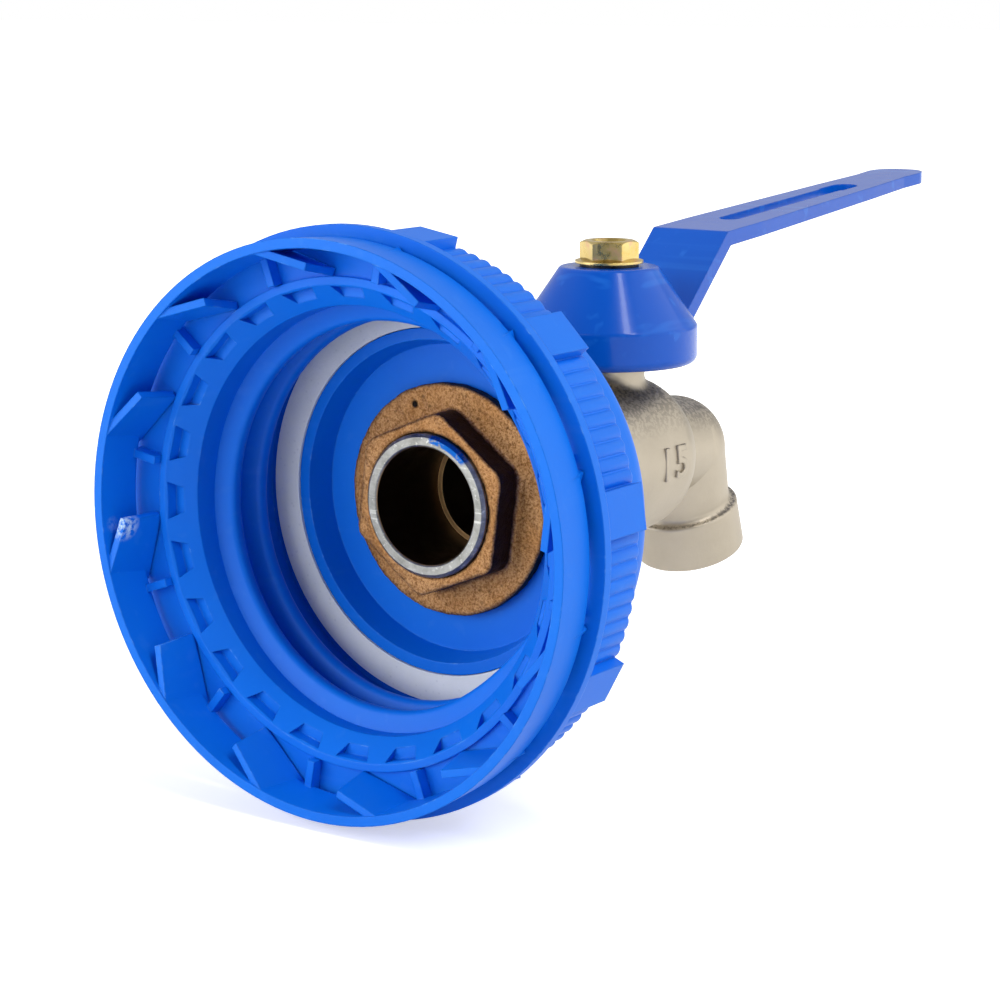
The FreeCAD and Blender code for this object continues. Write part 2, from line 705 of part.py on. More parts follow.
def make_valve_body():
    barrel = turned("barrel", [
        (BODY_FRONT, "0"),
        (BODY_FRONT, "inlet_r"),
        (f"{BODY_FRONT} + inlet_length", "inlet_r"),
        (f"{BODY_FRONT} + inlet_length + inlet_slope", "barrel_r"),
        ("barrel_end", "barrel_r"),
        (NOSE_END, "tube_r"),
        (NOSE_END, "0"),
    ])
    doc.recompute()
    dome = ring_edge(barrel.Tip.Shape, number("barrel_r"), number("barrel_end"))
    rounded(barrel, "barrel_dome", "dome_r", dome)

    # the tube runs down a little from the barrel's nose to the elbow
    run_x = number(f"elbow_x - ({NOSE_END})")
    drop = math.degrees(math.atan2(number("elbow_drop"), run_x))
    tube = cylinder("elbow_tube", "tube_r", f"sqrt((elbow_x - ({NOSE_END}))^2 + elbow_drop^2) + dome_r",
                    x=f"{NOSE_END} - dome_r * cos({drop})", z=f"dome_r * sin({drop})",
                    rotation=Rotation(Vector(0, 1, 0), 90 + drop))
    elbow = sphere("elbow_ball", "elbow_r", x="elbow_x", z="-elbow_drop")
    down = Rotation(Vector(0, 1, 0), 180 - number("outlet_tilt"))
    spout = cone("spout_tube", "elbow_r - slide_clearance", "outlet_r", "outlet_length - lip_length",
                 x="elbow_x", z="-elbow_drop", rotation=down)
    lip = cylinder("spout_lip", "lip_r", "lip_length",
                   x="elbow_x + (outlet_length - lip_length) * sin(outlet_tilt)",
                   z="-elbow_drop - (outlet_length - lip_length) * cos(outlet_tilt)",
                   rotation=down)
    soft_lip = doc.addObject("Part::Fillet", "spout_lip_soft")
    soft_lip.Base = lip
    doc.recompute()
    rims = [i for i, e in enumerate(lip.Shape.Edges, start=1) if isinstance(e.Curve, Part.Circle)]
    lip_edge = number("lip_edge_r")
    soft_lip.Edges = [(i, lip_edge, lip_edge) for i in rims]

    neck = turned("neck", [
        ("0", "0"),
        ("neck_r", "0"),
        ("neck_r", "neck_top - neck_edge"),
        ("neck_r - neck_edge", "neck_top"),
        ("0", "neck_top"),
    ], upright=True)
    placed(neck, x="stem_x")
    stop = sector("neck_stop", "stop_r", "stop_height", "stop_angle", 180,
                  x="stem_x", z="stop_bottom")
    outside = joined("body_outside", [barrel, tube, elbow, spout, soft_lip, neck, stop])
    casting = doc.addObject("Part::Fillet", "body_casting")
    casting.Base = outside
    doc.recompute()
    stem_x = number("stem_x")
    softened = []
    for i, edge in enumerate(outside.Shape.Edges, start=1):
        ends = [vertex.Point for vertex in edge.Vertexes]
        at_neck = all(abs(math.hypot(p.x - stem_x, p.y) - number("neck_r")) < 0.01
                      and p.z < number("barrel_r") + 0.01 for p in ends)
        at_nose = all(abs(p.x - number(NOSE_END)) < 0.1 for p in ends)
        closed = isinstance(edge.Curve, Part.Circle) if edge.Length > number("outlet_r") else False
        at_lip = closed and abs(edge.Curve.Radius - number("outlet_r")) < 0.01
        if at_neck and edge.Length > number("neck_r") / 2:
            softened.append((i, number("saddle_r"), number("saddle_r")))
        elif (at_nose and edge.Length > number("neck_r")) or at_lip:
            softened.append((i, number("casting_r"), number("casting_r")))
    casting.Edges = softened

    socket_r = "spigot_r + thread_clearance"
    hollows = [
        cylinder("body_socket", socket_r, f"{STEP_X} - ({BODY_FRONT})", x=BODY_FRONT,
                 rotation=ALONG_X),
        cylinder("body_chamber", "chamber_r", f"stem_x + seat_outer - ({STEP_X})", x=STEP_X,
                 rotation=ALONG_X),
        cylinder("body_passage", "passage_r", "elbow_x - stem_x", x="stem_x",
                 z="-elbow_drop / 2", rotation=ALONG_X),
        sphere("body_elbow_hollow", "passage_r + elbow_drop / 4", x="elbow_x", z="-elbow_drop"),
        cylinder("body_spout_hollow", "passage_r", "outlet_length", x="elbow_x",
                 z="-elbow_drop", rotation=down),
        cylinder("body_mouth", "mouth_r", "mouth_length",
                 x="elbow_x + (outlet_length - mouth_length) * sin(outlet_tilt)",
                 z="-elbow_drop - (outlet_length - mouth_length) * cos(outlet_tilt)",
                 rotation=down),
        cylinder("neck_bore", BORE_R, "neck_top", x="stem_x"),
        cylinder("neck_flange_bore", "stem_flange_r + flange_clearance", WASHER_TOP, x="stem_x"),
        cylinder("neck_packing_bore", "packing_r + slide_clearance", "neck_top - packing_bottom",
                 x="stem_x", z="packing_bottom"),
    ]
    return less("valve_body", casting, hollows)


# --------------------------------------------------------------------------
# Lever handle: bell-shaped hub, riser and slotted lever
# --------------------------------------------------------------------------
def make_lever_handle():
    hub = turned("hub", [
        ("0", "hub_bottom"),
        ("hub_r", "hub_bottom"),
        ("hub_r", "hub_shoulder"),
        ("hub_top_r", "hub_top"),
        ("0", "hub_top"),
    ], upright=True)
    placed(hub, x="stem_x")
    doc.recompute()
    foot = ring_edge(hub.Tip.Shape, number("hub_r"), number("hub_bottom"), "z")
    rounded(hub, "hub_foot", "hub_edge_r", foot)
    creases = (ring_edge(hub.Tip.Shape, number("hub_r"), number("hub_shoulder"), "z")
               + ring_edge(hub.Tip.Shape, number("hub_top_r"), number("hub_top"), "z"))
    rounded(hub, "hub_creases", "hub_crease_r", creases)

    # side view of the bent strip: top line, then back along the underside
    mid_slope = "(riser_slope + lever_slope) / 2"
    half_turn = "(riser_slope - lever_slope) / 2"
    root_z = "bend_z - (bend_x - riser_root_x) * tan(riser_slope)"
    end_z = "bend_z + (lever_end - bend_x) * tan(lever_slope)"
    side = doc.addObject("PartDesign::Body", "lever_side")
    sketch = outline(side, "lever_side_view", "XZ_Plane", [
        ("riser_root_x", root_z),
        ("bend_x", "bend_z"),
        ("lever_end", end_z),
        ("lever_end", f"{end_z} - lever_tip_thickness"),
        (f"bend_x + lever_thickness * sin({mid_slope}) / cos({half_turn})",
         f"bend_z - lever_thickness * cos({mid_slope}) / cos({half_turn})"),
        ("riser_root_x + lever_thickness * sin(riser_slope)",
         f"{root_z} - lever_thickness * cos(riser_slope)"),
    ])
    strip = side.newObject("PartDesign::Pad", "lever_strip")
    strip.Profile = sketch
    strip.Midplane = True
    bind(strip, "Length", "2 * lever_width")
    side.Tip = strip
    doc.recompute()
    bends = []
    for i, edge in enumerate(strip.Shape.Edges, start=1):
        along_y = abs(edge.Vertexes[0].Point.x - edge.Vertexes[-1].Point.x) < 1e-6
        near_bend = abs(edge.CenterOfMass.x - number("bend_x")) < number("lever_thickness")
        if along_y and near_bend and edge.Length > number("lever_width"):
            bends.append(f"Edge{i}")
    rounded(side, "lever_bend", "bend_r", bends)

    # plan view: half widths down the length, mirrored
    stations = [("riser_root_x - hub_wall", "lever_width"), ("lever_taper_x", "lever_width"),
                ("lever_mid_x", "lever_mid_width"), ("lever_waist_x", "lever_waist_width"),
                ("lever_tip_x", "lever_tip_width"), ("lever_end", "lever_tip_width")]
    plan = doc.addObject("PartDesign::Body", "lever_plan")
    sketch = outline(plan, "lever_plan_view", "XY_Plane",
                     [(x, f"-{width} / 2") for x, width in stations]
                     + [(x, f"{width} / 2") for x, width in reversed(stations)])
    slab = plan.newObject("PartDesign::Pad", "lever_slab")
    slab.Profile = sketch
    bind(slab, "Length", f"{end_z} + lever_thickness")
    plan.Tip = slab
    doc.recompute()
    tips = []
    for i, edge in enumerate(slab.Shape.Edges, start=1):
        upright = abs(edge.Vertexes[0].Point.z - edge.Vertexes[-1].Point.z) > 1
        if upright and abs(edge.CenterOfMass.x - number("lever_end")) < 1e-6:
            tips.append(f"Edge{i}")
    rounded(plan, "lever_tip", "lever_tip_r", tips)
    strip_shape = shared("lever_bar", [side, plan])
    solid = joined("lever_solid", [hub, strip_shape])

    # the bell's hollow, leaving a boss round the stem's square
    bell = turned("hub_hollow", [
        ("boss_r", "hub_bottom"),
        ("hub_r - hub_wall", "hub_bottom"),
        ("hub_r - hub_wall", "hub_shoulder - hub_wall / 3"),
        ("boss_r + hub_wall / 3", "hub_top - hub_roof"),
        ("boss_r", "hub_top - hub_roof"),
    ], upright=True)
    placed(bell, x="stem_x")
    well = cylinder("hub_well", "boss_r", "stem_shoulder - hub_bottom", x="stem_x", z="hub_bottom")
    # the travel stop is a slice of boss left standing beside the neck
    lug = less("hub_stop", sector("hub_stop_slice", "stop_r - stop_gap",
                                  "hub_top - hub_roof - stop_bottom - stop_gap",
                                  "stop_lug_angle", 45, x="stem_x", z="stop_bottom + stop_gap"),
               [cylinder("hub_stop_inner", "neck_r + stop_gap", "stem_shoulder - stop_bottom",
                         x="stem_x", z="stop_bottom")])
    socket = shared("hub_socket", [
        block("hub_square", "drive_flats + 2 * slide_clearance",
              "drive_flats + 2 * slide_clearance", "hub_top - stem_shoulder",
              x="stem_x", z="stem_shoulder"),
        cylinder("hub_round", "stem_r + slide_clearance", "hub_top - stem_shoulder",
                 x="stem_x", z="stem_shoulder"),
    ])
    # plan of the slot: a long run and a wider far end
    cut_height = f"{end_z} + lever_thickness"
    slot = [
        block("slot_run", "slot_end - slot_start - slot_half - slot_end_half", "2 * slot_half",
              cut_height, x="(slot_start + slot_half + slot_end - slot_end_half) / 2"),
        cylinder("slot_near", "slot_half", cut_height, x="slot_start + slot_half"),
        cylinder("slot_far", "slot_end_half", cut_height, x="slot_end - slot_end_half"),
        block("slot_wide", "2 * slot_end_half", "2 * slot_end_half", cut_height,
              x="slot_end - 2 * slot_end_half"),
    ]
    hollowed = less("handle_hollowed", solid, [bell, well, *slot])
    return less("lever_handle", joined("handle_with_stop", [hollowed, lug]), [socket])


# --------------------------------------------------------------------------
# Handle bolt and its washer
# --------------------------------------------------------------------------
def make_lock_washer():
    return upright_ring("lock_washer", "hub_top", "hub_top + lock_washer_thickness",
                        "bolt_r + bolt_clearance", "lock_washer_r")


def make_handle_bolt():
    seat = "hub_top + lock_washer_thickness"
    crown = f"{seat} + bolt_head_height"
    shank = turned("bolt_turned", [
        ("0", f"{seat} - bolt_length"),
        ("bolt_r", f"{seat} - bolt_length"),
        ("bolt_r", seat),
        ("bolt_flange_r", seat),
        ("bolt_flange_r", f"{seat} + bolt_flange_height / 2"),
        ("bolt_flats / 2", f"{seat} + bolt_flange_height"),
        ("0", f"{seat} + bolt_flange_height"),
    ], upright=True)
    placed(shank, x="stem_x")
    prism = hexagon("bolt_hex", "bolt_flats", f"{crown} - ({seat})", x="stem_x", z=seat,
                    rotation=Rotation(Vector(0, 0, 1), number("bolt_turn")))
    cap_cone = cone("bolt_crown", "bolt_flats / 2 + 2 * bolt_head_height",
                    "bolt_flats / 2 - bolt_head_chamfer / 4", "bolt_head_height",
                    x="stem_x", z=seat)
    dish = cone("bolt_dish", "bolt_dish_r - bolt_dish_depth", "bolt_dish_r", "bolt_dish_depth",
                x="stem_x", z=f"{crown} - bolt_dish_depth")
    return less("handle_bolt", joined("bolt_solid", [shank, shared("bolt_head", [prism, cap_cone])]),
                [dish])


# --------------------------------------------------------------------------
# Build, check and write every node
# --------------------------------------------------------------------------
NODES = [
    make_cap_shell(),
    make_tamper_ring(),
    make_cap_gasket(),
    make_backnut(),
    make_outer_seal(),
    make_clamp_washer(),
    make_inlet_adapter(),
    make_adapter_seal(),
    make_valve_body(),
    make_seat("inlet_seat", -1),
    make_seat("outlet_seat", 1),
    make_ball(),
    make_stem(),
    make_stem_thrust_washer(),
    make_o_ring("stem_o_ring_lower", "groove_low"),
    make_o_ring("stem_o_ring_upper", "groove_high"),
    make_stem_packing(),
    make_lever_handle(),
    make_lock_washer(),
    make_handle_bolt(),
]
doc.recompute()

for obj in doc.Objects:
    if {"Invalid", "Error"} & set(obj.State):
        raise RuntimeError(f"{obj.Name} failed: {obj.State}")

os.makedirs("parts", exist_ok=True)
for node in NODES:
    node.Label = node.Name
    shape = node.Shape
    if shape.isNull() or not shape.isValid() or len(shape.Solids) != 1:
        raise RuntimeError(f"{node.Name}: {len(shape.Solids)} solids, valid {shape.isValid()}")
    shape.exportStep(f"parts/{node.Name}.step")
    box = shape.BoundBox
    print(f"{node.Name:20s} {shape.Volume:10.1f} mm3  x {box.XMin:7.2f} {box.XMax:7.2f}  "
          f"y {box.YMin:7.2f} {box.YMax:7.2f}  z {box.ZMin:7.2f} {box.ZMax:7.2f}")
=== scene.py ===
# %% [markdown]
# # A ball valve in the screw cap of a liquid tank
# The object is a cap that screws on a tank's outlet, with a small brass ball
# valve clamped through the middle of it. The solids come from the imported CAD
# model and stay where they are. Blender adds what a maker would not cut into
# the CAD: the cap's thread, the ribs of its grip, the rough nut, and the finish
# of each surface.

# %% Load the frame
import math
import json
import bmesh
import bpy
from mathutils import Matrix, Vector

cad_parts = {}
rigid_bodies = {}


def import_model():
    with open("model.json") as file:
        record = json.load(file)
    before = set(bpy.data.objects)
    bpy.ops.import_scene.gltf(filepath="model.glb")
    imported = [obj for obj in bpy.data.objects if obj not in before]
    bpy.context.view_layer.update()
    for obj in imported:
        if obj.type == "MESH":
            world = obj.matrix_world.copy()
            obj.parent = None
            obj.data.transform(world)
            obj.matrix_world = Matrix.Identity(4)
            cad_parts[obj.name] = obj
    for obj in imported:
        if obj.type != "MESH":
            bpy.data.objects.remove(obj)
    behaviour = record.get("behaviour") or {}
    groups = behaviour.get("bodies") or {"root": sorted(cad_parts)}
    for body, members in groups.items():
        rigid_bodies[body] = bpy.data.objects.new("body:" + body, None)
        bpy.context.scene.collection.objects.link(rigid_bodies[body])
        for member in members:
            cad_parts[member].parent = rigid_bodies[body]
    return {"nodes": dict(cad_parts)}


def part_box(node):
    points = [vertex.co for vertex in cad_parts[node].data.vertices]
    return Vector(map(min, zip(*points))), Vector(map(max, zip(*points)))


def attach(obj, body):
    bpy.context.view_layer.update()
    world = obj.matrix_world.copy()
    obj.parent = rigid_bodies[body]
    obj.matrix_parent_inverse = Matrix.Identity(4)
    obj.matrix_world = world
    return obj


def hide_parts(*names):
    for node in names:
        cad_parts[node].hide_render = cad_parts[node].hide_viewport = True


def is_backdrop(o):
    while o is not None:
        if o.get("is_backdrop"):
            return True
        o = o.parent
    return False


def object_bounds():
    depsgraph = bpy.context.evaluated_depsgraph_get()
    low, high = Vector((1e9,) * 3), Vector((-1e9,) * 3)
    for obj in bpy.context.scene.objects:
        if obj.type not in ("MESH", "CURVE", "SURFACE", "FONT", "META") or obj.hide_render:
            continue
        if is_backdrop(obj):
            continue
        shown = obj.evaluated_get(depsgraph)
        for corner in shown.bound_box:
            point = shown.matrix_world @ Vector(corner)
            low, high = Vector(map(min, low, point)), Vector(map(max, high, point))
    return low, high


for old in list(bpy.data.objects):
    bpy.data.objects.remove(old)
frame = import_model()
nodes = frame["nodes"]
cad_low, cad_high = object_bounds()
print("CAD box, mm:", [round(1000 * v, 1) for v in (*cad_low, *cad_high)])

# %% [markdown]
# Most of this object is round about one line, the water's way, which is the X
# axis. So a place on the cap is easiest to say as a distance along X, a radius,
# and an angle. The angle is counted from straight up, turning towards -Y, which
# is also the way a right-hand thread goes in as X grows.

# %% Lengths and places
MM = 0.001


def about_x(x, radius, angle):
    """A point x along the axis, at a radius and an angle in degrees; all lengths in mm."""
    a = math.radians(angle)
    return Vector((x, -radius * math.sin(a), radius * math.cos(a))) * MM


print("top of the cap's collar:", [round(v, 4) for v in about_x(-19, 41.5, 0)])

# %% [markdown]
# Blender's operators act on whatever is selected, so each step starts by
# clearing the selection and picking one object. Inside edit mode, faces, edges
# and points are picked by where they are.

# %% Picking things
def only(obj):
    """Selects one object and makes it the active one."""
    bpy.ops.object.select_all(action="DESELECT")
    obj.select_set(True)
    bpy.context.view_layer.objects.active = obj


def edit(obj, kind="VERT"):
    """Opens an object in edit mode with nothing selected."""
    only(obj)
    bpy.ops.object.mode_set(mode="EDIT")
    bpy.ops.mesh.select_mode(type=kind)
    bpy.ops.mesh.select_all(action="DESELECT")


def pick(obj, kind, test):
    """Selects the points, edges or faces of the object in edit mode that pass a test."""
    bm = bmesh.from_edit_mesh(obj.data)
    parts = {"VERT": bm.verts, "EDGE": bm.edges, "FACE": bm.faces}[kind]
    bpy.ops.mesh.select_mode(type=kind)
    bpy.ops.mesh.select_all(action="DESELECT")
    found = [part for part in parts if test(part)]
    for part in found:
        part.select_set(True)
    bm.select_flush_mode()
    bmesh.update_edit_mesh(obj.data)
    return len(found)


def leave():
    """Closes edit mode."""
    bpy.ops.object.mode_set(mode="OBJECT")


def started(add, name, **sizes):
    """Adds a primitive with nothing else selected, names it, and puts its place in its mesh."""
    bpy.ops.object.select_all(action="DESELECT")
    add(**sizes)
    obj = bpy.context.object
    obj.name = name
    obj.data.name = name
    bpy.ops.object.transform_apply(location=True, rotation=True, scale=True)
    return obj


def applied(obj, kind, **values):
    """Adds a modifier, sets it, and applies it."""
    only(obj)
    modifier = obj.modifiers.new(kind.title(), kind)
    for key, value in values.items():
        setattr(modifier, key, value)
    bpy.ops.object.modifier_apply(modifier=modifier.name)


def tidy_normals(obj):
    """Merges doubles and turns all faces outwards."""
    edit(obj)
    bpy.ops.mesh.select_all(action="SELECT")
    bpy.ops.mesh.remove_doubles(threshold=0.002 * MM)
    bpy.ops.mesh.normals_make_consistent(inside=False)
    leave()


def finished(obj, body, material, smooth=40):
    """Gives a piece its material and the body that it moves with."""
    only(obj)
    bpy.ops.object.shade_smooth_by_angle(angle=math.radians(smooth))
    obj.data.materials.clear()
    obj.data.materials.append(material)
    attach(obj, body)
    faces = len(obj.data.polygons)
    print(f"{obj.name}: {faces} faces, {[round(1000 * d, 1) for d in obj.dimensions]} mm")


# %% [markdown]
# The camera stands low and to the left of the cap's open mouth and looks along
# the valve, with a long lens. The cap then shows its inside, and the handle
# runs away to the right.

# %% Camera
YAW, PITCH = math.radians(34.66), math.radians(11.2)
CAMERA_PLACE = (-0.2963, -0.2160, 0.07305)
LENS = 93.6                 # mm, on a sensor 36 mm wide
look = Vector((math.cos(PITCH) * math.cos(YAW), math.cos(PITCH) * math.sin(YAW), -math.sin(PITCH)))
bpy.ops.object.camera_add(location=CAMERA_PLACE)
camera = bpy.context.object
camera.rotation_euler = look.to_track_quat("-Z", "Y").to_euler()
camera.data.lens = LENS
camera.data.sensor_width = 36
camera.data.clip_start = 0.01
bpy.context.scene.camera = camera
print("camera looks along", [round(v, 3) for v in look])

# %% [markdown]
# Small glossy things are lit for a catalogue by large white boards with a
# darker room above and behind the camera. The boards give long soft highlights,
# and the dark room gives paint and metal their contrast. Here the world is
# white wherever the camera looks, and it fades towards the place above the
# camera. One low lamp on the left shines into the cap, a large one on the right
# lights the grip, and a tall narrow one draws the line of light on the hub.

# %% World and lamps
scene = bpy.context.scene
scene.view_settings.view_transform = "Standard"
world = bpy.data.worlds.new("studio")
scene.world = world
world.use_nodes = True
wn, wl = world.node_tree.nodes, world.node_tree.links
wn.clear()


def add_node(tree, kind, **values):
    """A shader node; values set its properties, or its inputs by name."""
    node = tree.nodes.new(kind)
    for key, value in values.items():
        if hasattr(node, key) and key not in node.inputs:
            setattr(node, key, value)
        else:
            node.inputs[key.replace("_", " ")].default_value = value
    return node


ROOM_LIGHT = 0.66           # of the boards all round
CAMERA_SIDE = 0.20          # of the room above the camera
dark_side = (Vector((0, 0, 0.75)) - look).normalized()
direction = wn.new("ShaderNodeTexCoord")
facing = wn.new("ShaderNodeVectorMath")
facing.operation = "DOT_PRODUCT"
facing.inputs[1].default_value = dark_side
fade = wn.new("ShaderNodeMapRange")
fade.inputs["From Min"].default_value = 0.45
fade.inputs["From Max"].default_value = 0.95
fade.inputs["To Min"].default_value = ROOM_LIGHT
fade.inputs["To Max"].default_value = CAMERA_SIDE
rays = wn.new("ShaderNodeLightPath")
seen = wn.new("ShaderNodeMix")
seen.inputs["B"].default_value = 1.0
sky = wn.new("ShaderNodeBackground")
sky.inputs["Color"].default_value = (1, 1, 1, 1)
out = wn.new("ShaderNodeOutputWorld")
wl.new(direction.outputs["Generated"], facing.inputs[0])
wl.new(facing.outputs["Value"], fade.inputs["Value"])
wl.new(fade.outputs["Result"], seen.inputs["A"])
wl.new(rays.outputs["Is Camera Ray"], seen.inputs["Factor"])
wl.new(seen.outputs["Result"], sky.inputs["Strength"])
wl.new(sky.outputs["Background"], out.inputs["Surface"])

target = Vector((0.02, 0, 0))


def lamp(name, azimuth, height, distance, width, tall, power):
    """A board of light; the azimuth is degrees to the right of the camera, seen from the object."""
    a = math.radians(azimuth) + math.pi + YAW
    h = math.radians(height)
    way = Vector((math.cos(h) * math.cos(a), math.cos(h) * math.sin(a), math.sin(h)))
    bpy.ops.object.light_add(type="AREA", location=target + way * distance)
    board = bpy.context.object
    board.name = name
    board.rotation_euler = (-way).to_track_quat("-Z", "Y").to_euler()
    board.data.shape = "RECTANGLE"
    board.data.size = width
    board.data.size_y = tall
    board.data.energy = power
    return board


lamp("left_board", -60, 14, 0.9, 1.0, 0.7, 7.0)
lamp("narrow_board", 36, 50, 0.8, 0.09, 0.5, 2.4)
lamp("right_board", 84, 28, 0.9, 1.3, 1.0, 4.2)

# %% [markdown]
# The floor is one plain pale sheet under the cap's collar. It keeps the
# object's soft shadow. Some white of its own is added for the camera and for
# reflections, more of it further out, so that the floor fades into the white
# room without more light on the object.

# %% Floor
FLOOR_SIZE = 12             # metres across
FLOOR_GAP = 0.3 * MM        # under the collar
NEAR_WHITE, FAR_WHITE = 0.5, 1.0
floor = started(bpy.ops.mesh.primitive_plane_add, "floor", size=FLOOR_SIZE,
                location=(0, 0, cad_low.z - FLOOR_GAP))
floor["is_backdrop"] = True
paper = bpy.data.materials.new("floor_paper")
paper.use_nodes = True
pt = paper.node_tree
pt.nodes.clear()
sheet = add_node(pt, "ShaderNodeBsdfDiffuse", Color=(0.86, 0.86, 0.86, 1))
glow = add_node(pt, "ShaderNodeEmission")
ray = add_node(pt, "ShaderNodeLightPath")
share = add_node(pt, "ShaderNodeMath", operation="MULTIPLY")
where = add_node(pt, "ShaderNodeTexCoord")
span = add_node(pt, "ShaderNodeVectorMath", operation="LENGTH")
outward = add_node(pt, "ShaderNodeMapRange")
outward.inputs["From Min"].default_value = 0.15
outward.inputs["From Max"].default_value = 0.6
outward.inputs["To Min"].default_value = NEAR_WHITE
outward.inputs["To Max"].default_value = FAR_WHITE
pt.links.new(where.outputs["Object"], span.inputs[0])
pt.links.new(span.outputs["Value"], outward.inputs["Value"])
pt.links.new(outward.outputs["Result"], share.inputs[1])
both = add_node(pt, "ShaderNodeAddShader")
end = add_node(pt, "ShaderNodeOutputMaterial")
seen_or_shiny = add_node(pt, "ShaderNodeMath", operation="MAXIMUM")
pt.links.new(ray.outputs["Is Camera Ray"], seen_or_shiny.inputs[0])
pt.links.new(ray.outputs["Is Glossy Ray"], seen_or_shiny.inputs[1])
pt.links.new(seen_or_shiny.outputs[0], share.inputs[0])
pt.links.new(share.outputs[0], glow.inputs["Strength"])
pt.links.new(sheet.outputs[0], both.inputs[0])
pt.links.new(glow.outputs[0], both.inputs[1])
pt.links.new(both.outputs[0], end.inputs["Surface"])
floor.data.materials.append(paper)
print("floor at", round(1000 * floor.data.vertices[0].co.z, 2), "mm")

# %% [markdown]
# ## Effects that several finishes share
# Four effects come back again and again: soft uneven colour, fine scratches,
# the bumpy skin of a casting, and the worn or dusty edge. Each is built once as
# a group of shader nodes, and each material places it with its own values.

# %% A maker for node groups
def new_group(name, inputs, outputs):
    """A shader node group with float inputs and outputs; outputs may be vectors."""
    tree = bpy.data.node_groups.new(name, "ShaderNodeTree")
    for title, value in inputs.items():
        sock = tree.interface.new_socket(title, in_out="INPUT", socket_type="NodeSocketFloat")
        sock.default_value = value
    for title, kind in outputs.items():
        tree.interface.new_socket(title, in_out="OUTPUT", socket_type=kind)
    tree.nodes.new("NodeGroupInput").name = "in"
    tree.nodes.new("NodeGroupOutput").name = "out"
    return tree


def join(tree, source, target):
    """Links one socket to another, inside a node tree."""
    tree.links.new(source, target)


# %% [markdown]
# Uneven colour is noise on the piece's own coordinates. The noise is stretched
# to the full range, so that a material can mix two colours with it.

# %% Group: uneven colour
uneven = new_group("uneven", {"Scale": 60.0, "Sharpness": 2.0}, {"Mask": "NodeSocketFloat"})
g = uneven.nodes
where = add_node(uneven, "ShaderNodeTexCoord")
noise = add_node(uneven, "ShaderNodeTexNoise", Detail=5.0, Roughness=0.6)
level = add_node(uneven, "ShaderNodeMath", operation="SUBTRACT")
level.inputs[1].default_value = 0.5
steep = add_node(uneven, "ShaderNodeMath", operation="MULTIPLY")
back = add_node(uneven, "ShaderNodeMath", operation="ADD", use_clamp=True)
back.inputs[1].default_value = 0.5
join(uneven, where.outputs["Object"], noise.inputs["Vector"])
join(uneven, g["in"].outputs["Scale"], noise.inputs["Scale"])
join(uneven, noise.outputs["Fac"], level.inputs[0])
join(uneven, level.outputs[0], steep.inputs[0])
join(uneven, g["in"].outputs["Sharpness"], steep.inputs[1])
join(uneven, steep.outputs[0], back.inputs[0])
join(uneven, back.outputs[0], g["out"].inputs["Mask"])
print("group:", uneven.name)

# %% [markdown]
# Handling leaves fine scratches in all directions. Two noises, each squeezed
# along another axis, look like long thin streaks. Only their peaks are kept.

# %% Group: scratches
scratches = new_group("scratches", {"Scale": 300.0, "Amount": 0.5}, {"Mask": "NodeSocketFloat"})
g = scratches.nodes
where = add_node(scratches, "ShaderNodeTexCoord")
streaks = []
for turn, squeeze in (((0.3, 0.2, 0.7), (1, 0.03, 1)), ((1.1, 0.5, 0.2), (0.04, 1, 1))):
    placing = add_node(scratches, "ShaderNodeMapping", Rotation=turn, Scale=squeeze)
    noise = add_node(scratches, "ShaderNodeTexNoise", Detail=2.0, Roughness=0.5)
    join(scratches, where.outputs["Object"], placing.inputs["Vector"])
    join(scratches, placing.outputs[0], noise.inputs["Vector"])
    join(scratches, g["in"].outputs["Scale"], noise.inputs["Scale"])
    streaks.append(noise)
peak = add_node(scratches, "ShaderNodeMath", operation="MAXIMUM")
cut = add_node(scratches, "ShaderNodeMapRange")
cut.inputs["From Min"].default_value = 0.62
cut.inputs["From Max"].default_value = 0.72
join(scratches, streaks[0].outputs["Fac"], peak.inputs[0])
join(scratches, streaks[1].outputs["Fac"], peak.inputs[1])
join(scratches, peak.outputs[0], cut.inputs["Value"])
join(scratches, g["in"].outputs["Amount"], cut.inputs["To Max"])
join(scratches, cut.outputs["Result"], g["out"].inputs["Mask"])
print("group:", scratches.name)

# %% [markdown]
# Metal cast in sand keeps the print of the sand: small grains, low swells, and
# here and there a pit. The grains and swells are noise at two scales, and the
# pits are the middles of a few cells of a Voronoi pattern.

# %% Group: cast skin
cast_skin = new_group("cast_skin", {"Grain": 1500.0, "Swell": 250.0, "Pits": 0.5},
                      {"Height": "NodeSocketFloat", "Pit": "NodeSocketFloat",
                       "Grain": "NodeSocketFloat"})
g = cast_skin.nodes
where = add_node(cast_skin, "ShaderNodeTexCoord")
grain = add_node(cast_skin, "ShaderNodeTexNoise", Detail=4.0, Roughness=0.65)
swell = add_node(cast_skin, "ShaderNodeTexNoise", Detail=2.0, Roughness=0.5)
cell = add_node(cast_skin, "ShaderNodeTexVoronoi", Randomness=1.0)
for noise in (grain, swell, cell):
    join(cast_skin, where.outputs["Object"], noise.inputs["Vector"])
join(cast_skin, g["in"].outputs["Grain"], grain.inputs["Scale"])
join(cast_skin, g["in"].outputs["Swell"], swell.inputs["Scale"])
join(cast_skin, g["in"].outputs["Swell"], cell.inputs["Scale"])
pit = add_node(cast_skin, "ShaderNodeMapRange")
pit.inputs["From Min"].default_value = 0.05
pit.inputs["From Max"].default_value = 0.22
pit.inputs["To Min"].default_value = 1.0
pit.inputs["To Max"].default_value = 0.0
some = add_node(cast_skin, "ShaderNodeMath", operation="MULTIPLY")
total = add_node(cast_skin, "ShaderNodeMath", operation="ADD")
less_pit = add_node(cast_skin, "ShaderNodeMath", operation="SUBTRACT")
join(cast_skin, cell.outputs["Distance"], pit.inputs["Value"])
join(cast_skin, pit.outputs["Result"], some.inputs[0])
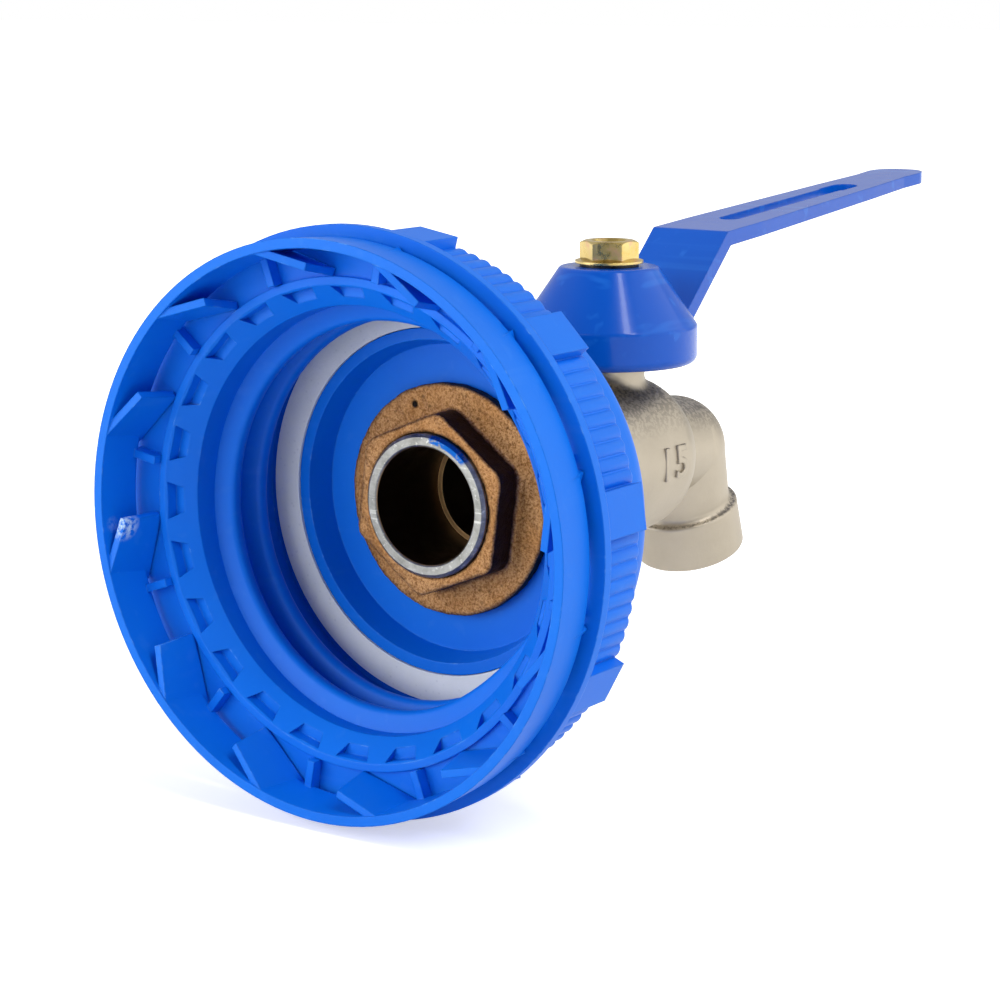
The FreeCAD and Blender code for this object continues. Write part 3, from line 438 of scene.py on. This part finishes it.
join(cast_skin, g["in"].outputs["Pits"], some.inputs[1])
join(cast_skin, grain.outputs["Fac"], total.inputs[0])
join(cast_skin, swell.outputs["Fac"], total.inputs[1])
join(cast_skin, total.outputs[0], less_pit.inputs[0])
join(cast_skin, some.outputs[0], less_pit.inputs[1])
join(cast_skin, less_pit.outputs[0], g["out"].inputs["Height"])
join(cast_skin, some.outputs[0], g["out"].inputs["Pit"])
join(cast_skin, grain.outputs["Fac"], g["out"].inputs["Grain"])
print("group:", cast_skin.name)

# %% [markdown]
# No moulded or cast edge is truly sharp. A Bevel node bends the shading over a
# small radius, so that each edge catches a thin line of light. Where its normal
# leaves the face's own normal, there is an edge, and that gives a mask for wear.

# %% Group: soft edge
soft_edge = new_group("soft_edge", {"Radius": 0.0003, "Reach": 4.0},
                      {"Mask": "NodeSocketFloat", "Normal": "NodeSocketVector"})
g = soft_edge.nodes
bevel = add_node(soft_edge, "ShaderNodeBevel", samples=6)
shape = add_node(soft_edge, "ShaderNodeNewGeometry")
same = add_node(soft_edge, "ShaderNodeVectorMath", operation="DOT_PRODUCT")
off = add_node(soft_edge, "ShaderNodeMath", operation="SUBTRACT")
off.inputs[0].default_value = 1.0
stretch = add_node(soft_edge, "ShaderNodeMath", operation="MULTIPLY", use_clamp=True)
join(soft_edge, g["in"].outputs["Radius"], bevel.inputs["Radius"])
join(soft_edge, bevel.outputs["Normal"], same.inputs[0])
join(soft_edge, shape.outputs["Normal"], same.inputs[1])
join(soft_edge, same.outputs["Value"], off.inputs[1])
join(soft_edge, off.outputs[0], stretch.inputs[0])
join(soft_edge, g["in"].outputs["Reach"], stretch.inputs[1])
join(soft_edge, stretch.outputs[0], g["out"].inputs["Mask"])
join(soft_edge, bevel.outputs["Normal"], g["out"].inputs["Normal"])
print("group:", soft_edge.name)

# %% [markdown]
# ## Finishes
# A short helper starts each material: it makes the Principled shader, sets the
# plain values on its own sockets, and hands back the tree. Colours are written
# as they are on a screen and turned to linear light.

# %% Helpers for materials
def screen(red, green, blue):
    """A colour given as screen values from 0 to 255, in linear light."""
    def linear(value):
        value /= 255
        return value / 12.92 if value < 0.04045 else ((value + 0.055) / 1.055) ** 2.4
    return (linear(red), linear(green), linear(blue), 1)


def new_material(name, **plain):
    """A material with one Principled shader; plain values go on its own sockets."""
    made = bpy.data.materials.new(name)
    made.use_nodes = True
    tree = made.node_tree
    shader = tree.nodes["Principled BSDF"]
    for key, value in plain.items():
        shader.inputs[key.replace("_", " ")].default_value = value
    return made, tree, shader


def use(tree, group, **values):
    """Places a shared effect in a material."""
    node = tree.nodes.new("ShaderNodeGroup")
    node.node_tree = group
    for key, value in values.items():
        node.inputs[key].default_value = value
    return node


def mixed(tree, mask, first, second):
    """Mixes two colours, or two colour sockets, by a mask."""
    node = tree.nodes.new("ShaderNodeMix")
    node.data_type = "RGBA"
    tree.links.new(mask, node.inputs["Factor"])
    for socket, value in ((node.inputs[6], first), (node.inputs[7], second)):
        if isinstance(value, tuple):
            socket.default_value = value
        else:
            tree.links.new(value, socket)
    return node.outputs[2]


def ranged(tree, value, low, high, start=0.0, stop=1.0):
    """Maps a value from start..stop to low..high."""
    node = add_node(tree, "ShaderNodeMapRange")
    node.inputs["From Min"].default_value = start
    node.inputs["From Max"].default_value = stop
    node.inputs["To Min"].default_value = low
    node.inputs["To Max"].default_value = high
    tree.links.new(value, node.inputs["Value"])
    return node.outputs["Result"]


def math_node(tree, operation, first, second, clamp=False):
    """One sum on two values or sockets."""
    node = add_node(tree, "ShaderNodeMath", operation=operation, use_clamp=clamp)
    for i, value in enumerate((first, second)):
        if isinstance(value, (int, float)):
            node.inputs[i].default_value = value
        else:
            tree.links.new(value, node.inputs[i])
    return node.outputs[0]


def bumped(tree, shader, height, distance, strength, normal=None):
    """Feeds a height to the shader's normal, over a softened edge if one is given."""
    node = add_node(tree, "ShaderNodeBump", Strength=strength, Distance=distance)
    tree.links.new(height, node.inputs["Height"])
    if normal is not None:
        tree.links.new(normal, node.inputs["Normal"])
    tree.links.new(node.outputs["Normal"], shader.inputs["Normal"])


def near(tree, point, radius, blur):
    """A mask that is 1 near a point of the piece and fades out; all lengths in mm."""
    where = add_node(tree, "ShaderNodeTexCoord")
    far = add_node(tree, "ShaderNodeVectorMath", operation="DISTANCE")
    tree.links.new(where.outputs["Object"], far.inputs[0])
    far.inputs[1].default_value = Vector(point) * MM
    return ranged(tree, far.outputs["Value"], 1.0, 0.0, (radius - blur) * MM, radius * MM)


# %% [markdown]
# The cap is moulded in blue polypropylene. Its skin is smooth and a little
# waxy, with fine flow marks, and its edges are scuffed pale where the cap has
# been screwed on and off.

# %% Moulded blue plastic
cap_blue, t, bsdf = new_material("cap_blue", IOR=1.49, Specular_IOR_Level=0.2)
tone = use(t, uneven, Scale=45.0, Sharpness=1.6)
fine = use(t, uneven, Scale=1400.0, Sharpness=1.5)
marks = use(t, scratches, Scale=420.0, Amount=0.55)
edge = use(t, soft_edge, Radius=0.28 * MM, Reach=5.0)
blue = mixed(t, tone.outputs["Mask"], screen(0, 103, 216), screen(0, 113, 226))
scuff = math_node(t, "MULTIPLY", marks.outputs["Mask"],
                  ranged(t, edge.outputs["Mask"], 0.05, 1.0), clamp=True)
worn = mixed(t, scuff, blue, screen(120, 185, 245))
dust = use(t, uneven, Scale=1500.0, Sharpness=5.0)
white_spot = near(t, (-26.3, 36.4, -3.0), 2.6, 1.8)
white_spot = math_node(t, "MULTIPLY", white_spot, dust.outputs["Mask"])
worn = mixed(t, white_spot, worn, screen(196, 222, 240))
join(t, worn, bsdf.inputs["Base Color"])
join(t, ranged(t, tone.outputs["Mask"], 0.38, 0.48), bsdf.inputs["Roughness"])
bumped(t, bsdf, fine.outputs["Mask"], 0.02 * MM, 0.35, edge.outputs["Normal"])
print("material:", cap_blue.name)

# %% [markdown]
# The gasket is a flat ring of closed-cell foam. It is dull and pale, and its
# cut faces show thousands of tiny cells.

# %% Grey foam
gasket_grey, t, bsdf = new_material("gasket_grey", Roughness=0.95)
cells = use(t, cast_skin, Grain=2600.0, Swell=900.0, Pits=0.3)
tone = use(t, uneven, Scale=160.0, Sharpness=1.5)
pale = mixed(t, tone.outputs["Mask"], screen(214, 220, 222), screen(230, 234, 235))
pored = mixed(t, cells.outputs["Pit"], pale, screen(176, 184, 192))
join(t, pored, bsdf.inputs["Base Color"])
bumped(t, bsdf, cells.outputs["Height"], 0.08 * MM, 0.5)
print("material:", gasket_grey.name)

# %% [markdown]
# The nut is brass straight from a sand mould. Oxide makes it brown, the grains
# of sand stand out as lighter specks, and the hollows stay dark. The faces that
# look across the axis, the hexagon's sides most of all, get painted shade.

# %% Sand-cast brass
nut_brass, t, bsdf = new_material("nut_brass")
skin = use(t, cast_skin, Grain=3000.0, Swell=600.0, Pits=0.45)
tone = use(t, uneven, Scale=130.0, Sharpness=2.2)
edge = use(t, soft_edge, Radius=0.5 * MM, Reach=3.0)
brown = mixed(t, tone.outputs["Mask"], screen(158, 112, 64), screen(200, 158, 110))
grainy = mixed(t, ranged(t, skin.outputs["Grain"], 0, 1, 0.36, 0.6), screen(124, 84, 48), brown)
# Painted shade: faces that look across the axis, such as the hexagon's sides, are mixed towards
# dark brown.
shape = add_node(t, "ShaderNodeNewGeometry")
split = add_node(t, "ShaderNodeSeparateXYZ")
join(t, shape.outputs["Normal"], split.inputs[0])
side = ranged(t, math_node(t, "ABSOLUTE", split.outputs["X"], 0), 1.0, 0.0, 0.15, 0.55)
painted_side_shade = mixed(t, side, grainy, screen(60, 40, 28))
dark = mixed(t, skin.outputs["Pit"], painted_side_shade, screen(48, 28, 14))
# Painted shade: a small near-black spot stands for the shade inside a hole that the nut's mesh does
# not have.
painted_hole_shade = near(t, (2.5, 5.55, 13.6), 0.75, 0.35)
join(t, mixed(t, painted_hole_shade, dark, screen(14, 8, 5)), bsdf.inputs["Base Color"])
join(t, ranged(t, tone.outputs["Mask"], 0.5, 0.68), bsdf.inputs["Roughness"])
join(t, ranged(t, skin.outputs["Grain"], 0.95, 0.7, 0.4, 0.7), bsdf.inputs["Metallic"])
bumped(t, bsdf, skin.outputs["Height"], 0.16 * MM, 0.55, edge.outputs["Normal"])
print("material:", nut_brass.name)

# %% [markdown]
# The nipple is turned brass with a thin coat of nickel. Its end is scratched
# by handling and holds a dab of blue paint. The coat does not reach down the
# bore: faces there that look out towards the cap's mouth show brass, and the
# bore's walls are painted nearly black as painted shade.

# %% Nickel on turned brass
nipple_nickel, t, bsdf = new_material("nipple_nickel", Metallic=1.0)
marks = use(t, scratches, Scale=1700.0, Amount=0.5)
tone = use(t, uneven, Scale=500.0, Sharpness=2.5)
edge = use(t, soft_edge, Radius=0.15 * MM, Reach=3.0)
place = add_node(t, "ShaderNodeTexCoord")
split = add_node(t, "ShaderNodeSeparateXYZ")
join(t, place.outputs["Object"], split.inputs[0])
flat = add_node(t, "ShaderNodeCombineXYZ")
join(t, split.outputs["Y"], flat.inputs["Y"])
join(t, split.outputs["Z"], flat.inputs["Z"])
radius = add_node(t, "ShaderNodeVectorMath", operation="LENGTH")
join(t, flat.outputs[0], radius.inputs[0])
bore = ranged(t, radius.outputs["Value"], 1.0, 0.0, 8.62 * MM, 8.75 * MM)
grey = mixed(t, tone.outputs["Mask"], screen(112, 112, 108), screen(168, 168, 162))
streaked = mixed(t, marks.outputs["Mask"], grey, screen(222, 222, 214))
shape = add_node(t, "ShaderNodeNewGeometry")
turn = add_node(t, "ShaderNodeSeparateXYZ")
join(t, shape.outputs["Normal"], turn.inputs[0])
step = ranged(t, turn.outputs["X"], 1.0, 0.0, -0.9, -0.6)
# Painted shade: inside the bore the walls are dark brown, and only the faces that look out towards
# the cap's mouth keep the brass colour.
bore_brass_and_shade = mixed(t, step, screen(60, 44, 28), screen(214, 176, 126))
inside = mixed(t, bore, streaked, bore_brass_and_shade)
ends = [near(t, p, 1.9, 0.5) for p in ((-3, -2.6, 9.9), (-3, -4.4, 9.2), (-3, -6.2, 8.4))]
dab = math_node(t, "MAXIMUM", math_node(t, "MAXIMUM", ends[0], ends[1]), ends[2])
dab = math_node(t, "MULTIPLY", dab, ranged(t, tone.outputs["Mask"], 0, 1, 0.12, 0.3))
dab = math_node(t, "MULTIPLY", dab, ranged(t, radius.outputs["Value"], 0, 1, 9.2 * MM, 9.4 * MM))
join(t, mixed(t, dab, inside, screen(20, 84, 160)), bsdf.inputs["Base Color"])
join(t, ranged(t, tone.outputs["Mask"], 0.34, 0.58), bsdf.inputs["Roughness"])
bumped(t, bsdf, marks.outputs["Mask"], 0.03 * MM, 0.4, edge.outputs["Normal"])
print("material:", nipple_nickel.name)

# %% [markdown]
# The valve's body is a brass casting, shot-blasted and nickel plated. It has a
# satin skin with a warm tint and fine grain. Dark specks on the faces that look
# up are painted shade.

# %% Satin nickel casting
body_nickel, t, bsdf = new_material("body_nickel")
skin = use(t, cast_skin, Grain=2300.0, Swell=500.0, Pits=0.35)
speck = use(t, uneven, Scale=1500.0, Sharpness=9.0)
tone = use(t, uneven, Scale=90.0, Sharpness=2.0)
edge = use(t, soft_edge, Radius=0.35 * MM, Reach=3.0)
warm = mixed(t, tone.outputs["Mask"], screen(168, 158, 141), screen(184, 174, 157))
shape = add_node(t, "ShaderNodeNewGeometry")
split = add_node(t, "ShaderNodeSeparateXYZ")
join(t, shape.outputs["Normal"], split.inputs[0])
# Painted shade: blotchy dark specks on faces that look up, with less metal where they lie.
upward = ranged(t, split.outputs["Z"], 0.0, 0.85, 0.35, 1.0)
upper_specks_painted_shade = math_node(t, "MULTIPLY", ranged(t, speck.outputs["Mask"], 1.0, 0.0, 0.2, 0.75), upward)
join(t, mixed(t, upper_specks_painted_shade, warm, screen(84, 80, 76)), bsdf.inputs["Base Color"])
join(t, ranged(t, tone.outputs["Mask"], 0.42, 0.52), bsdf.inputs["Roughness"])
join(t, ranged(t, upper_specks_painted_shade, 0.92, 0.75), bsdf.inputs["Metallic"])
bumped(t, bsdf, skin.outputs["Height"], 0.07 * MM, 0.45, edge.outputs["Normal"])
print("material:", body_nickel.name)

# %% [markdown]
# The handle wears thick blue paint. It flows over the edges, shines, and has a
# faint orange peel.

# %% Glossy blue paint
handle_blue, t, bsdf = new_material("handle_blue", IOR=1.5, Coat_Roughness=0.07,
                                    Specular_IOR_Level=0.18)
tone = use(t, uneven, Scale=50.0, Sharpness=1.5)
peel = use(t, uneven, Scale=420.0, Sharpness=1.2)
edge = use(t, soft_edge, Radius=0.28 * MM, Reach=3.0)
marks = use(t, scratches, Scale=350.0, Amount=0.35)
paint = mixed(t, tone.outputs["Mask"], screen(0, 77, 182), screen(0, 86, 192))
join(t, mixed(t, marks.outputs["Mask"], paint, screen(40, 120, 215)), bsdf.inputs["Base Color"])
join(t, ranged(t, peel.outputs["Mask"], 0.2, 0.3), bsdf.inputs["Roughness"])
join(t, ranged(t, peel.outputs["Mask"], 0.11, 0.16), bsdf.inputs["Coat Weight"])
bumped(t, bsdf, peel.outputs["Mask"], 0.05 * MM, 0.3, edge.outputs["Normal"])
print("material:", handle_blue.name)

# %% [markdown]
# The bolt is steel with yellow chromate over zinc. The coat is thin and shifts
# between gold, straw and a little pink.

# %% Yellow zinc
bolt_zinc, t, bsdf = new_material("bolt_zinc", Metallic=1.0)
tone = use(t, uneven, Scale=260.0, Sharpness=3.0)
tint = use(t, uneven, Scale=520.0, Sharpness=3.0)
edge = use(t, soft_edge, Radius=0.2 * MM, Reach=3.0)
gold = mixed(t, tone.outputs["Mask"], screen(186, 158, 84), screen(224, 204, 140))
join(t, mixed(t, ranged(t, tint.outputs["Mask"], 0, 0.6, 0.6, 1.0), gold, screen(206, 150, 128)),
     bsdf.inputs["Base Color"])
join(t, ranged(t, tint.outputs["Mask"], 0.2, 0.42), bsdf.inputs["Roughness"])
bumped(t, bsdf, tint.outputs["Mask"], 0.03 * MM, 0.3, edge.outputs["Normal"])
print("material:", bolt_zinc.name)

# %% [markdown]
# The other small parts get plain workshop finishes: oiled steel, zinc plate,
# rubber, PTFE, a chromed ball and a turned brass stem. One helper makes them
# all, because they differ only in colour, gloss and metal.

# %% The small parts' finishes
def simple_finish(name, first, second, rough, metal, scale, grain, **plain):
    """Two mixed colours, a range of roughness, and fine bumps."""
    made, t, bsdf = new_material(name, Metallic=metal, **plain)
    tone = use(t, uneven, Scale=scale, Sharpness=2.5)
    fine = use(t, uneven, Scale=grain, Sharpness=2.0)
    edge = use(t, soft_edge, Radius=0.15 * MM, Reach=3.0)
    join(t, mixed(t, tone.outputs["Mask"], first, second), bsdf.inputs["Base Color"])
    join(t, ranged(t, fine.outputs["Mask"], *rough), bsdf.inputs["Roughness"])
    bumped(t, bsdf, fine.outputs["Mask"], 0.02 * MM, 0.35, edge.outputs["Normal"])
    print("material:", name)
    return made


finishes = {
    "cap_blue": cap_blue, "gasket_grey": gasket_grey, "nut_brass": nut_brass,
    "nipple_nickel": nipple_nickel, "body_nickel": body_nickel,
    "handle_blue": handle_blue, "bolt_zinc": bolt_zinc,
    "seal_black": simple_finish("seal_black", screen(20, 20, 21), screen(36, 36, 37),
                                (0.6, 0.8), 0.0, 300.0, 2500.0),
    "washer_zinc": simple_finish("washer_zinc", screen(150, 152, 154), screen(196, 198, 200),
                                 (0.28, 0.45), 1.0, 300.0, 1800.0),
    "washer_dark": simple_finish("washer_dark", screen(40, 38, 35), screen(78, 74, 68),
                                 (0.3, 0.5), 1.0, 500.0, 1800.0),
    "seat_white": simple_finish("seat_white", screen(228, 228, 224), screen(240, 240, 237),
                                (0.4, 0.55), 0.0, 200.0, 1500.0),
    "ball_chrome": simple_finish("ball_chrome", screen(206, 208, 212), screen(226, 228, 230),
                                 (0.06, 0.12), 1.0, 200.0, 2500.0),
    "stem_brass": simple_finish("stem_brass", screen(176, 140, 76), screen(206, 174, 104),
                                (0.25, 0.4), 1.0, 200.0, 2200.0),
}
for title, obj in nodes.items():
    for holder in obj.material_slots:
        wanted = holder.material.name.split(".")[0]
        holder.material = finishes[wanted]
print("nodes dressed:", len(nodes))

# %% [markdown]
# ## The cap's thread
# A coarse thread with a rounded ridge runs round the inside of the cap. On the
# real cap the mould turns out of it. Here one cross-section is drawn and a
# Screw modifier sweeps it round the axis. Both ends of the ridge sink into the
# wall, so each ring of points near an end is shrunk towards the wall.

# %% Thread
WALL, CREST = 30.4, 27.4    # radii of the ridge's foot, a little inside the wall, and its top
PITCH_MM, TURNS = 6.0, 2.0
FIRST_X, FIRST_ANGLE = -14.4, 100.0
RING_STEPS = 96             # steps of the sweep in one turn
FOOT_WIDTH, TOP_WIDTH = 3.9, 1.9
CORNER = 0.7                # rounding of the ridge's top
thread = started(bpy.ops.mesh.primitive_plane_add, "cap_thread", size=1,
                 location=(FIRST_X * MM, 0, (WALL + CREST) / 2 * MM), rotation=(math.pi / 2, 0, 0))
edit(thread)
bpy.ops.mesh.select_all(action="SELECT")
centre = (FIRST_X * MM, 0, (WALL + CREST) / 2 * MM)
bpy.ops.transform.resize(value=(FOOT_WIDTH * MM, 1, (WALL - CREST) * MM), center_override=centre)
pick(thread, "VERT", lambda v: v.co.z < centre[2])
bpy.ops.transform.resize(value=(TOP_WIDTH / FOOT_WIDTH, 1, 1), center_override=centre)
bpy.ops.mesh.bevel(affect="VERTICES", offset=CORNER * MM, segments=4)
bpy.ops.mesh.select_all(action="SELECT")
bpy.ops.mesh.delete(type="ONLY_FACE")
leave()
thread.data.transform(Matrix.Rotation(math.radians(FIRST_ANGLE), 4, "X"))
profile_size = len(thread.data.vertices)
applied(thread, "SCREW", axis="X", angle=math.radians(360 * TURNS),
        screw_offset=PITCH_MM * TURNS * MM, steps=int(RING_STEPS * TURNS),
        render_steps=int(RING_STEPS * TURNS), use_smooth_shade=True)
rings = len(thread.data.vertices) // profile_size
print("thread: profile of", profile_size, "points,", rings, "rings")

# %% Thread run-outs
RUN_OUT = 12                # rings over which an end sinks into the wall
edit(thread)
for end_ring, way in ((0, 1), (rings - 1, -1)):
    for i in range(RUN_OUT):
        ring = end_ring + way * i
        low, high = ring * profile_size, (ring + 1) * profile_size
        pick(thread, "VERT", lambda v: low <= v.index < high)
        angle = FIRST_ANGLE + 360 * TURNS * ring / (rings - 1)
        foot = about_x(FIRST_X + PITCH_MM * TURNS * ring / (rings - 1), WALL, angle)
        size = max(0.06, math.sin(math.pi / 2 * i / RUN_OUT))
        bpy.ops.transform.resize(value=(size, size, size), center_override=foot)
pick(thread, "EDGE", lambda e: len(e.link_faces) == 1)
bpy.ops.mesh.edge_face_add()
leave()
tidy_normals(thread)
finished(thread, "valve", cap_blue, smooth=60)

# %% [markdown]
# ## The grip
# Between its ten lugs the cap's collar is ribbed, so that a wet hand or a strap
# wrench holds. One low rib with rounded ends is modelled at the top of the cap
# and copied round the collar.

# %% Grip ribs
LUGS, FIRST_LUG = 10, 46.0
RIBS_BETWEEN, RIB_PITCH = 9, 3.0
RIB_FRONT, RIB_BACK, GRIP = -18.7, -8.2, 39.1
RIB_HALF, RIB_FLATNESS = 0.98, 0.54
RIB_AXIS = (GRIP - 0.2) * MM    # the rib's own middle line, inside the collar
rib = started(bpy.ops.mesh.primitive_cylinder_add, "rib", vertices=20, radius=RIB_HALF * MM,
              depth=(RIB_BACK - RIB_FRONT) * MM, rotation=(0, math.pi / 2, 0),
              location=((RIB_FRONT + RIB_BACK) / 2 * MM, 0, RIB_AXIS))
edit(rib)
bpy.ops.mesh.select_all(action="SELECT")
bpy.ops.transform.resize(value=(1, 1, RIB_FLATNESS), center_override=(0, 0, RIB_AXIS))
bpy.ops.mesh.bisect(plane_co=(0, 0, (GRIP - 0.25) * MM), plane_no=(0, 0, 1),
                    use_fill=True, clear_inner=True)
pick(rib, "EDGE", lambda e: all(v.co.z > RIB_AXIS for v in e.verts)
     and abs(e.verts[0].co.x - e.verts[1].co.x) < 1e-6)
bpy.ops.mesh.bevel(offset=0.45 * MM, segments=3)
leave()
copies = []
for lug in range(LUGS):
    for i in range(RIBS_BETWEEN):
        angle = FIRST_LUG + 360 / LUGS * (lug + 0.5) + RIB_PITCH * (i - (RIBS_BETWEEN - 1) / 2)
        copy = rib.copy()
        copy.data = rib.data.copy()
        bpy.context.collection.objects.link(copy)
        copy.data.transform(Matrix.Rotation(math.radians(angle), 4, "X"))
        copies.append(copy)
bpy.data.objects.remove(rib)
bpy.ops.object.select_all(action="DESELECT")
for copy in copies:
    copy.select_set(True)
bpy.context.view_layer.objects.active = copies[0]
bpy.ops.object.join()
grip = bpy.context.object
grip.name = "cap_grip_ribs"
grip.data.name = grip.name
finished(grip, "valve", cap_blue)

# %% [markdown]
# ## The nut
# The nut is cast in one piece with its flange, and sand leaves no crisp corner
# on it. It is built as a disc and a hexagon, joined and bored. Then the whole
# skin is rebuilt from small even faces, smoothed so that corners round off, and
# pushed in and out a little by a cloud texture, as the sand did.

# %% Cast nut
low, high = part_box("backnut")
FLANGE_THICK = 2.0
FLANGE_FRONT = high.x - FLANGE_THICK * MM
BORE = 10.56
GRAIN_SIZE, GRAIN_DEPTH = 1.6, 0.28     # of the sand's print
FACE_SIZE = 0.3                         # of the rebuilt skin
FLATS = 24.0
corner = max((v.co for v in nodes["backnut"].data.vertices if v.co.x < low.x + 2 * MM),
             key=lambda p: math.hypot(p.y, p.z))
nut = started(bpy.ops.mesh.primitive_cylinder_add, "cast_nut", vertices=128,
              radius=high.y - 0.05 * MM, depth=FLANGE_THICK * MM, rotation=(0, math.pi / 2, 0),
              location=(high.x - FLANGE_THICK / 2 * MM, 0, 0))
hexagon = started(bpy.ops.mesh.primitive_cylinder_add, "hexagon", vertices=6,
                  radius=FLATS / math.sqrt(3) * MM, depth=high.x - low.x - 0.5 * MM,
                  rotation=(0, math.pi / 2, 0), location=((low.x + high.x - 0.5 * MM) / 2, 0, 0))
own = max((v.co for v in hexagon.data.vertices), key=lambda p: math.hypot(p.y, p.z))
turn = math.atan2(corner.z, corner.y) - math.atan2(own.z, own.y)
hexagon.data.transform(Matrix.Rotation(turn, 4, "X"))
edit(hexagon, "EDGE")
pick(hexagon, "EDGE", lambda e: abs(e.verts[0].co.x - e.verts[1].co.x) > MM)
bpy.ops.mesh.bevel(offset=1.3 * MM, segments=4)
leave()
bore = started(bpy.ops.mesh.primitive_cylinder_add, "bore", vertices=128, radius=BORE * MM,
               depth=12 * MM, rotation=(0, math.pi / 2, 0), location=(FLANGE_FRONT, 0, 0))
applied(nut, "BOOLEAN", operation="UNION", object=hexagon, solver="EXACT")
applied(nut, "BOOLEAN", operation="DIFFERENCE", object=bore, solver="EXACT")
bpy.data.objects.remove(hexagon)
bpy.data.objects.remove(bore)
applied(nut, "REMESH", mode="VOXEL", voxel_size=FACE_SIZE * MM, use_smooth_shade=True)
applied(nut, "SMOOTH", factor=0.5, iterations=5)
sand = bpy.data.textures.new("sand", "CLOUDS")
sand.noise_scale = GRAIN_SIZE * MM
sand.noise_depth = 3
applied(nut, "DISPLACE", texture=sand, texture_coords="GLOBAL",
        strength=GRAIN_DEPTH * MM, mid_level=0.5)
print("nut's flange front at", round(1000 * FLANGE_FRONT, 2), "mm")
finished(nut, "valve", nut_brass, smooth=180)
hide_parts("backnut")

# %% [markdown]
# ## A raised number
# Cast bodies carry a raised mark on the side of the barrel. A plain number
# stands there: it is set as text, made a mesh, wrapped round the barrel, and
# its edges are softened as a casting's are.

# %% Raised number
BARREL = 12.6
MARK_X, MARK_HEIGHT = 45.6, 7.2
MARK_DEPTH, MARK_EDGE, MARK_SINK = 0.35, 0.16, 0.1
bpy.ops.object.select_all(action="DESELECT")
bpy.ops.object.text_add(location=(0, 0, 0))
mark = bpy.context.object
mark.data.body = "15"
mark.data.size = MARK_HEIGHT * MM
mark.data.align_x = "CENTER"
mark.data.align_y = "CENTER"
mark.data.space_character = 1.15
mark.data.extrude = MARK_DEPTH * MM
mark.data.bevel_depth = MARK_EDGE * MM
mark.data.bevel_resolution = 2
only(mark)
bpy.ops.object.convert(target="MESH")
mark = bpy.context.object
mark.name = "raised_number"
mark.data.name = mark.name
for v in mark.data.vertices:
    x, up, out = v.co.x, v.co.y, v.co.z
    foot = math.sqrt((BARREL * MM) ** 2 - up ** 2)
    v.co = Vector((MARK_X * MM + x, -(foot + out - MARK_SINK * MM), up))
tidy_normals(mark)
finished(mark, "valve", body_nickel)

# %% Sizes and the end
low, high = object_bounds()
print("grown by, mm:", [round(1000 * v, 2) for v in (*(cad_low - low), *(high - cad_high))])
